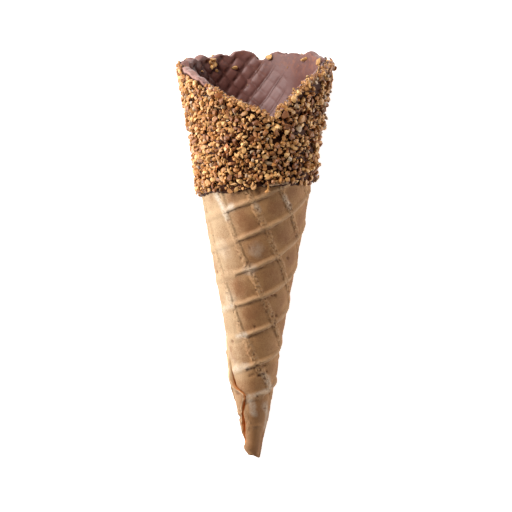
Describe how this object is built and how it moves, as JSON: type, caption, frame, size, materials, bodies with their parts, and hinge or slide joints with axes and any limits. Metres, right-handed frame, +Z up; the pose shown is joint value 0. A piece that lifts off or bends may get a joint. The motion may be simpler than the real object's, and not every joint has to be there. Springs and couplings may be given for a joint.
{
  "type": "ice cream cone",
  "caption": "Empty rolled wafer cone with a notched rim, chocolate inside and dipped outside, coated with chopped nuts and lying on its side, for holding ice cream.",
  "frame": {"origin": "on the floor, under the middle of the bounding box", "axes": "+Z up, +Y along the lying cone from its tip to its mouth, +X to the right seen from above with the tip towards the viewer; the notch in the rim faces up"},
  "size_m": [0.0604, 0.1568, 0.0551],
  "materials": {
    "wafer": "dry baked wafer, matt, with fine pores",
    "chocolate": "set milk chocolate, soft satin",
    "nuts": "chopped roasted nuts, matt to slightly oily"
  },
  "bodies": {
    "root": {"wafer_cone": "wafer", "chocolate_coating": "chocolate", "chopped_nuts": "nuts"}
  },
  "joints": []
}
